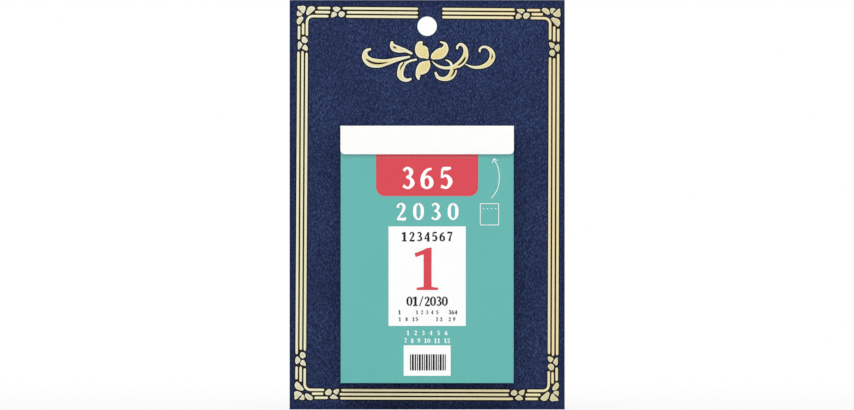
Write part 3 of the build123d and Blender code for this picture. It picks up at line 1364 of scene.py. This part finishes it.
@dataclass(frozen=True)
class LeafBlock:
    """The block under the card header: staples, the leaves of each month, and the week that tears off.

    Attributes:
        leaf_play: how far single leaves stand back from the block's trimmed sides.
        leaf_air: gap between one leaf and the next.
        settling: turn per millimetre of depth of the slow wave in which the leaves settle, in radians.
        seed: start of the random amounts.
        numeral_height: height of the day's numeral on a leaf.
        numeral_drop: drop of its middle.
        week: the row of the week's numbers under it.
        days: number of dots in the row below, one for each day of the month.
        dot_pitch: from one dot to the next.
        dot_drop: drop of the dots.
        dot_size: size of a dot.
        dot_swell: how much larger the day's own dot is.
        ink: how far print stands out of the paper.
        ink_depth: how far it reaches into it.
    """

    leaf_play: float = 0.09
    leaf_air: float = 0.006
    settling: float = 1.9
    seed: int = 365
    numeral_height: float = 46.0
    numeral_drop: float = 46.0
    week: PrintRow = PrintRow("1234567", height=6.0, drop=84.0, width=62.0)
    days: int = 31
    dot_pitch: float = 2.0
    dot_drop: float = 93.5
    dot_size: float = 1.0
    dot_swell: float = 0.6
    ink: float = 0.008
    ink_depth: float = 0.01

    def build(self) -> None:
        """Dress the header and the staples, and build the leaves with their print."""
        dress_node("header_card", Surface.CARD)
        dress_node("staples", Surface.WIRE)
        draw = np.random.default_rng(self.seed)
        packs = [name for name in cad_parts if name.endswith("_leaves")]
        for name in sorted(packs, key=back_depth):
            self.build_pack(name, draw)
        week = [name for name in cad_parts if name.startswith("day_leaf") and "stub" not in name]
        for day, name in enumerate(sorted(week), start=1):
            dress_node(name, Surface.LEAF)
            dress_node(f"{name}_stub", Surface.LEAF)
            self.print_day(day, name, name)
        self.print_day(len(week) + 1, "january_leaves", "wall_plate")

    def build_pack(self, name: str, draw: np.random.Generator) -> None:
        """Replace a month's solid by its single leaves.

        Each leaf is a thin box. Its sides, foot and tone are drawn at random, its sides and foot within the
        leaf play and on a slow wave through the block, as trimmed leaves settle.

        Args:
            name: the month's solid.
            draw: the source of the random amounts.
        """
        back, front = back_depth(name), face_depth(name)
        count = round((front - back) / LEAF_THICKNESS)
        depth = back + LEAF_THICKNESS * np.arange(count)
        wave = 0.5 + 0.5 * np.sin(self.settling * depth)
        play = self.leaf_play * (wave[:, None] + draw.random((count, 3))) / 2
        tones = draw.random(count) ** 2
        leaves = []
        for start, (left, right, foot), tone in zip(depth, play, tones):
            relief = Relief(start, start + LEAF_THICKNESS - self.leaf_air)
            sides = [left - LEAF_HALF_WIDTH, LEAF_HALF_WIDTH - right]
            flat = np.stack(np.meshgrid(sides, [LEAF_TOP, LEAF_BOTTOM + foot]), axis=-1)
            leaves.append(raised(flat, np.zeros((2, 2)), np.full((2, 2), tone), Place(), relief))
        piece = make_piece(f"{name}_sheets", joined(leaves), Surface.LEAF)
        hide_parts(name)
        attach(piece, "wall_plate")

    def print_day(self, day: int, leaf: str, body: str) -> None:
        """Print a day's numeral on a leaf, with the week's numbers and the month's dots under it.

        Args:
            day: the day's number.
            leaf: the leaf's node.
            body: the body that the leaf moves with.
        """
        face = face_depth(leaf)
        relief = Relief(face - self.ink_depth, face + self.ink)
        numeral = PrintRow(str(day), self.numeral_height, self.numeral_drop)
        month = [
            dot(
                self.dot_pitch * (place - (self.days + 1) / 2),
                FLAP_EDGE - self.dot_drop,
                self.dot_size + self.dot_swell * (place == day),
            )
            for place in range(1, self.days + 1)
        ]
        big = stacked(numeral.strokes(), relief)
        small = stacked(self.week.strokes() + month, relief)
        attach(make_piece(f"{leaf}_numeral", big, Surface.RED), body)
        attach(make_piece(f"{leaf}_small_print", small, Surface.BLACK), body)


@dataclass(frozen=True)
class CoverSheet:
    """The printed sheet in front of the first day, which creases along the tear line when it is turned up.

    Attributes:
        bend: length of the crease below the tear line, where the sheet turns. Not used.
        ink: how far print stands out of the sheet.
        ink_depth: how far it reaches into it.
        tab: the red tab under the flap: half its width, its drop and its corner radius.
        stub_red: how far below the head of the stub the tab's red starts on it.
        page: the white page: its left and right sides, and the drops of its top and bottom.
        label: the same for the white label at the foot.
        bars: the same for the bars on it.
        bar_widths: widths of the bars, over and over from left to right.
        bar_gap: gap between one bar and the next.
        line: width of drawn lines.
        arrow: the shaft and the two barbs of the arrow that points to the flap, across and by their drop.
        sign: sides and drops of the small drawn leaf.
        sign_slots: number of slots drawn on it.
        slot_margin: from its sides to the middles of the outer slots.
        slot_drop: from its top to the slots.
        slot_half: half the length of a slot.
        white_rows: plain numbers on the tab, on the teal and under the page.
        red_rows: the first day's numeral, in the middle of the page.
        black_rows: the week's numbers above the day, the month's below it, and two small rows at the foot.
    """

    bend: float = 9.0
    ink: float = 0.012
    ink_depth: float = 0.02
    tab: Knot = (25.0, 20.5, 4.4)
    stub_red: float = 8.0
    page: Edges = (-18.9, 18.9, 35.3, 84.0)
    label: Edges = (-11.5, 11.5, 93.5, 108.4)
    bars: Edges = (-8.4, 10.4, 97.9, 105.8)
    bar_widths: Knot = (0.5, 1.0, 0.7)
    bar_gap: float = 0.4
    line: float = 0.33
    arrow: tuple[tuple[Point, ...], ...] = (
        ((31.5, 21.6), (34.4, 17.0), (35.3, 11.9), (34.7, 6.6), (32.6, 2.2)),
        ((32.0, 4.3), (32.25, 3.2), (32.6, 2.2)),
        ((34.5, 3.1), (33.5, 2.6), (32.6, 2.2)),
    )
    sign: Edges = (26.0, 35.0, 24.2, 34.6)
    sign_slots: int = 4
    slot_margin: float = 1.5
    slot_drop: float = 2.4
    slot_half: float = 0.4
    white_rows: tuple[PrintRow, ...] = (
        PrintRow("365", height=10.6, drop=11.6, width=25.0, bold=0.5),
        PrintRow("2030", height=8.4, drop=28.0, width=30.4, bold=0.32),
        PrintRow("1 2 3 4 5 6", height=2.2, drop=87.4, width=20.0, bold=0.12),
        PrintRow("7 8 9 10 11 12", height=2.2, drop=91.2, width=22.4, bold=0.12),
    )
    red_rows: tuple[PrintRow, ...] = (PrintRow("1", height=21.1, drop=55.95),)
    black_rows: tuple[PrintRow, ...] = (
        PrintRow("1234567", height=4.5, drop=40.3, width=25.0, bold=0.3),
        PrintRow("01/2030", height=4.5, drop=71.9, width=20.0, bold=0.25),
        PrintRow("1", height=2.0, drop=77.3, middle=-13.5, bold=0.15),
        PrintRow("1 2 3 4 5", height=1.8, drop=77.3, width=11.0, bold=0.1),
        PrintRow("364", height=2.0, drop=77.3, width=4.2, middle=12.6, bold=0.15),
        PrintRow("1 8 15", height=1.8, drop=80.7, width=9.4, middle=-9.2, bold=0.1),
        PrintRow("22 29", height=1.8, drop=80.7, width=9.4, middle=9.0, bold=0.1),
    )

    def build(self) -> None:
        """Build the sheet and everything that is printed on it."""
        back, face = back_depth("cover_sheet"), face_depth("cover_sheet")
        teeth = TornEdge()
        paper = teeth.sheet(Relief(back, face))
        reverse = np.repeat([0.0, 1.0], len(paper.points) // 2)
        sheet = make_piece("cover_sheet_paper", replace(paper, tone=reverse), Surface.TEAL)
        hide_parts("cover_sheet")
        self.crease(sheet)
        dress_node("cover_sheet_stub", Surface.TEAL)
        ground = Relief(face - self.ink_depth, face + self.ink)
        over = ground.lifted(self.ink)
        half, drop, radius = self.tab
        tab = Panel(-half, half, TEAR_LINE - teeth.slot_drop, FLAP_EDGE - drop, radius)
        self.add("cover_red_tab", tab.skin(ground), Surface.RED)
        stub_tab = Panel(-half, half, LEAF_TOP - self.stub_red, TEAR_LINE + teeth.slot_drop)
        stub_print = make_piece("cover_stub_red_tab", stub_tab.skin(ground), Surface.RED)
        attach(stub_print, "wall_plate")
        self.add("cover_white_page", patch(self.page).skin(ground), Surface.BARE)
        self.add("cover_white_label", patch(self.label).skin(ground), Surface.BARE)
        drawing = [self.drawn(*points) for points in self.arrow] + self.leaf_sign()
        self.add("cover_white_print", stacked(strokes_of(self.white_rows) + drawing, over), Surface.BARE)
        self.add("cover_day_numeral", stacked(strokes_of(self.red_rows), over), Surface.RED)
        self.add("cover_black_print", stacked(strokes_of(self.black_rows), over), Surface.BLACK)
        self.add("cover_label_bars", joined(bar.skin(over) for bar in self.label_bars()), Surface.BLACK)

    def add(self, name: str, skin: Skin, surface: Surface) -> None:
        """Make a printed piece of the sheet."""
        self.crease(make_piece(name, skin, surface))

    def crease(self, piece: bpy.types.Object) -> None:
        """Bake a piece's place in the frame into its mesh.

        Args:
            piece: the sheet or a piece of its print.
        """
        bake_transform(piece)

    def drawn(self, *points: Point) -> Blade:
        """A drawn line through points given across and by their drop."""
        return Blade(tuple((x, FLAP_EDGE - drop, self.line) for x, drop in points), round_ends=True)

    def leaf_sign(self) -> list[Blade]:
        """A small drawn leaf with a row of slots near its top.

        Returns:
            Its four sides and its slots.
        """
        left, right, top, bottom = self.sign
        sides = [self.drawn((left, drop), (right, drop)) for drop in (top, bottom)]
        sides += [self.drawn((x, top), (x, bottom)) for x in (left, right)]
        row = top + self.slot_drop
        middles = np.linspace(left + self.slot_margin, right - self.slot_margin, self.sign_slots).tolist()
        return sides + [self.drawn((x - self.slot_half, row), (x + self.slot_half, row)) for x in middles]

    def label_bars(self) -> list[Panel]:
        """Upright bars across the label, whose widths repeat in turn with even gaps.

        Returns:
            The bars from left to right.
        """
        x, right, top, bottom = self.bars
        bars = []
        while x + max(self.bar_widths) <= right:
            width = self.bar_widths[len(bars) % len(self.bar_widths)]
            bars.append(patch((x, x + width, top, bottom)))
            x += width + self.bar_gap
        return bars


@dataclass(frozen=True)
class Studio:
    """Camera, light, floor and background.

    Attributes:
        view_width: width of the plate's plane that the photograph's frame takes in, in millimetres.
        view_middle: the middle of that frame on the face.
        distance: from the camera to the plate's face in metres.
        sight: how far the camera sees, in metres.
        ambient: share of the light that comes from all round.
        glow: share that comes from two wide soft boxes, one before and one behind the calendar.
        key: share that comes from the key lamp.
        key_height: how far the key lamp stands above the reader's eye, in degrees.
        key_softness: how wide the key lamp looks from the calendar, in degrees.
        floor_colour: colour of the matt floor.
        floor_half: half the floor's side in metres.
        floor_white: how much of the background's white the floor keeps near the calendar, where it shows
            shadows.
        floor_fade: how far from the calendar the floor has turned to the background's white, in metres.
    """

    view_width: float = 419.06
    view_middle: Point = (-0.07, -87.74)
    distance: float = 8.0
    sight: float = 100.0
    ambient: float = 0.45
    glow: float = 0.41
    key: float = 0.2
    key_height: float = 48.0
    key_softness: float = 28.0
    floor_colour: str = "#f6f6f5"
    floor_half: float = 3.0
    floor_white: float = 0.82
    floor_fade: float = 1.4

    def build(self) -> None:
        """Set up the camera, the light and the background."""
        bpy.context.scene.view_settings.view_transform = "Standard"
        self.add_camera()
        self.add_key()
        self.add_world()
        self.add_floor()

    def add_camera(self) -> None:
        """Aim a long lens straight at the plate."""
        camera = bpy.data.cameras.new("front_camera")
        camera.lens = camera.sensor_width * self.distance / (self.view_width * MM)
        camera.clip_end = self.sight
        stand = bpy.data.objects.new("front_camera", camera)
        face = face_depth("leatherette_covering") * MM
        stand.location = (self.view_middle[0] * MM, -face - self.distance, self.view_middle[1] * MM)
        stand.rotation_euler = (math.pi / 2, 0.0, 0.0)
        bpy.context.scene.collection.objects.link(stand)
        bpy.context.scene.camera = stand

    def add_key(self) -> None:
        """Hang a soft lamp above the camera, which gives a white face towards the reader the key's share."""
        lamp = bpy.data.lights.new("soft_key", "SUN")
        lean = math.radians(self.key_height)
        lamp.energy = self.key * math.pi / math.cos(lean)
        lamp.angle = math.radians(self.key_softness)
        key = bpy.data.objects.new("soft_key", lamp)
        key.rotation_euler = (math.pi / 2 - lean, 0.0, 0.0)
        bpy.context.scene.collection.objects.link(key)

    def seen_white(self, tree: Tree) -> Socket:
        """Add the nodes that tell whether a ray shows the background itself.

        Args:
            tree: the node tree of the world or the floor.

        Returns:
            A socket that is 1 for a ray from the camera, off a mirror or through glass, and otherwise 0.
        """
        ray = add_node(tree, "ShaderNodeLightPath", {})
        seen = ray["Is Camera Ray"]
        for kind in ("Is Glossy Ray", "Is Transmission Ray"):
            seen = add_node(tree, "ShaderNodeMath", {0: seen, 1: ray[kind]}, operation="MAXIMUM")[0]
        return seen

    def add_world(self) -> None:
        """Make the background white to look at, and soft light for everything else.

        The soft boxes are a glow that grows with the fourth power of a ray's share along y. A matt face
        turned to one of them gets a third of the glow's peak.
        """
        world = bpy.data.worlds.new("studio")
        world.use_nodes = True
        bpy.context.scene.world = world
        tree = world.node_tree
        tree.nodes.clear()
        way = add_node(tree, "ShaderNodeTexCoord", {})["Generated"]
        along = add_node(tree, "ShaderNodeSeparateXYZ", {0: way})["Y"]
        square = add_node(tree, "ShaderNodeMath", {0: along, 1: along}, operation="MULTIPLY")[0]
        fourth = add_node(tree, "ShaderNodeMath", {0: square, 1: square}, operation="MULTIPLY")[0]
        levels = {0: fourth, 1: 3 * self.glow, 2: self.ambient}
        strength = add_node(tree, "ShaderNodeMath", levels, operation="MULTIPLY_ADD")[0]
        light = add_node(tree, "ShaderNodeBackground", {"Color": linear(WHITE), "Strength": strength})[0]
        white = add_node(tree, "ShaderNodeBackground", {"Color": linear(WHITE), "Strength": 1.0})[0]
        both = add_node(tree, "ShaderNodeMixShader", {0: self.seen_white(tree), 1: light, 2: white})[0]
        add_node(tree, "ShaderNodeOutputWorld", {"Surface": both})

    def add_floor(self) -> None:
        """Lay a pale floor under the plate's lower edge, which fades into the background."""
        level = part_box("leatherette_covering")[0].z
        half = self.floor_half
        corners = [(-half, -half, level), (half, -half, level), (half, half, level), (-half, half, level)]
        mesh = bpy.data.meshes.new("floor")
        mesh.from_pydata(corners, [], [(0, 1, 2, 3)])
        paint = bpy.data.materials.new("matt_white_floor")
        paint.use_nodes = True
        tree = paint.node_tree
        tree.nodes.clear()
        matt = add_node(tree, "ShaderNodeBsdfDiffuse", {"Color": linear(self.floor_colour)})[0]
        white = add_node(tree, "ShaderNodeEmission", {"Color": linear(WHITE), "Strength": 1.0})[0]
        place = add_node(tree, "ShaderNodeTexCoord", {})["Object"]
        away = add_node(tree, "ShaderNodeVectorMath", {0: place}, operation="LENGTH")["Value"]
        fade = {"Value": away, "From Max": self.floor_fade, "To Min": self.floor_white}
        pale = add_node(tree, "ShaderNodeMapRange", fade, interpolation_type="SMOOTHSTEP")[0]
        share = {0: self.seen_white(tree), 1: pale}
        keep = add_node(tree, "ShaderNodeMath", share, operation="MULTIPLY")[0]
        both = add_node(tree, "ShaderNodeMixShader", {0: keep, 1: matt, 2: white})[0]
        add_node(tree, "ShaderNodeOutputMaterial", {"Surface": both})
        mesh.materials.append(paint)
        floor = bpy.data.objects.new("floor", mesh)
        bpy.context.scene.collection.objects.link(floor)


def main() -> None:
    """Build the calendar and the studio, and note the size of the dressed model."""
    logging.basicConfig(level=logging.INFO, format="%(name)s %(message)s")
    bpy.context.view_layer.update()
    Studio().build()
    WallPlate().build()
    LeafBlock().build()
    CoverSheet().build()


if __name__ == "__main__":
    main()
